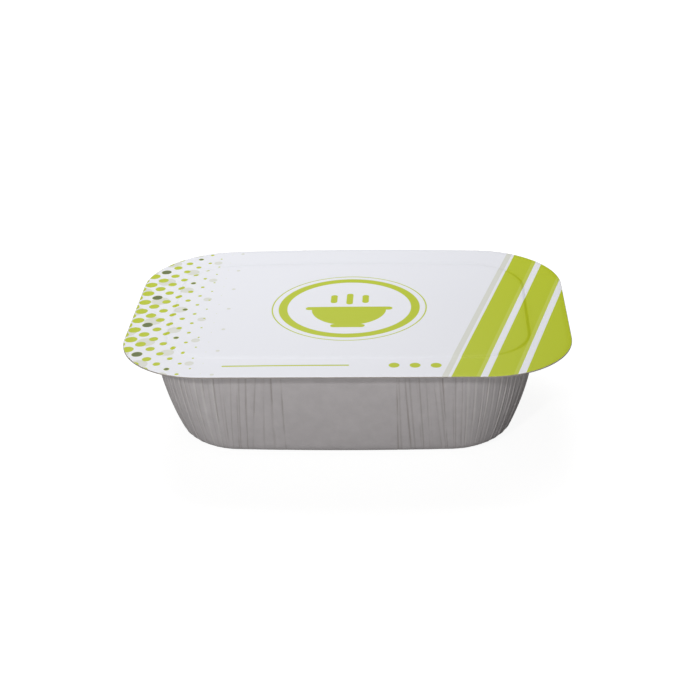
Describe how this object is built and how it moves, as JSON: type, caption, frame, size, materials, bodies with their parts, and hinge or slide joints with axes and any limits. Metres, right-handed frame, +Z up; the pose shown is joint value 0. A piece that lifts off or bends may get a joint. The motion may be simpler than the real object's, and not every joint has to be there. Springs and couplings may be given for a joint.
{
  "type": "paper food container",
  "caption": "Oblong pressed paperboard food tray with round corners and pleated walls, closed by a flat printed board lid lying on its flange.",
  "frame": {"origin": "middle of the footprint, on the underside of the base", "axes": "+X along the long side to the right, +Z up, the front long side faces -Y"},
  "size_m": [0.222, 0.1576, 0.0582],
  "materials": {
    "tray_board": "matt grey-brown pressed paperboard",
    "lid_board": "smooth white coated board with a lime green print"
  },
  "bodies": {
    "root": {"tray": "tray_board", "lid": "lid_board"}
  },
  "joints": []
}
